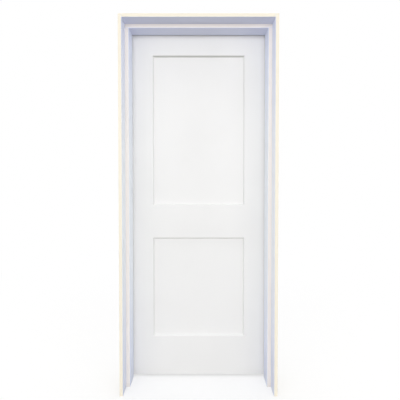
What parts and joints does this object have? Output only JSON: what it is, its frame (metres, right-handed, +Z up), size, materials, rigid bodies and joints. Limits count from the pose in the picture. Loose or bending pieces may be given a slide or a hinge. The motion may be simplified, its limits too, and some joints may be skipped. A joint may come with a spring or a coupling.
{
  "type": "hinged shaker interior door in its jamb",
  "caption": "Interior door slab with flat recessed panels between stiles and rails, hung on butt hinges in a wooden jamb with planted stops.",
  "frame": {"origin": "on the hinge jamb's outer face, at floor level, in the middle of the jamb's depth", "axes": "+X from the hinge jamb to the lock jamb, +Y to the side the door opens to, +Z up"},
  "size_m": [0.861, 0.2085, 2.068],
  "materials": {
    "primed_jamb": "primed and painted off-white, satin",
    "primed_stop": "primed and painted off-white, satin",
    "painted_slab": "painted white, semi-gloss",
    "painted_panel": "painted white, semi-gloss",
    "hinge_metal": "satin nickel",
    "pin_metal": "satin nickel"
  },
  "bodies": {
    "frame": {"hinge_jamb": "primed_jamb", "lock_jamb": "primed_jamb", "head_jamb": "primed_jamb", "hinge_stop": "primed_stop", "lock_stop": "primed_stop", "head_stop": "primed_stop", "lower_hinge_frame_leaf": "hinge_metal", "middle_hinge_frame_leaf": "hinge_metal", "upper_hinge_frame_leaf": "hinge_metal", "lower_hinge_pin": "pin_metal", "middle_hinge_pin": "pin_metal", "upper_hinge_pin": "pin_metal"},
    "door": {"hinge_stile": "painted_slab", "lock_stile": "painted_slab", "top_rail": "painted_slab", "middle_rail": "painted_slab", "bottom_rail": "painted_slab", "upper_panel": "painted_panel", "lower_panel": "painted_panel", "lower_hinge_door_leaf": "hinge_metal", "middle_hinge_door_leaf": "hinge_metal", "upper_hinge_door_leaf": "hinge_metal"}
  },
  "joints": [
    {"name": "door_swing", "type": "hinge", "parent": "frame", "child": "door", "pos_m": [0.0215, 0.106, 0], "axis": [0, 0, 1], "range_deg": [0, 170]}
  ]
}
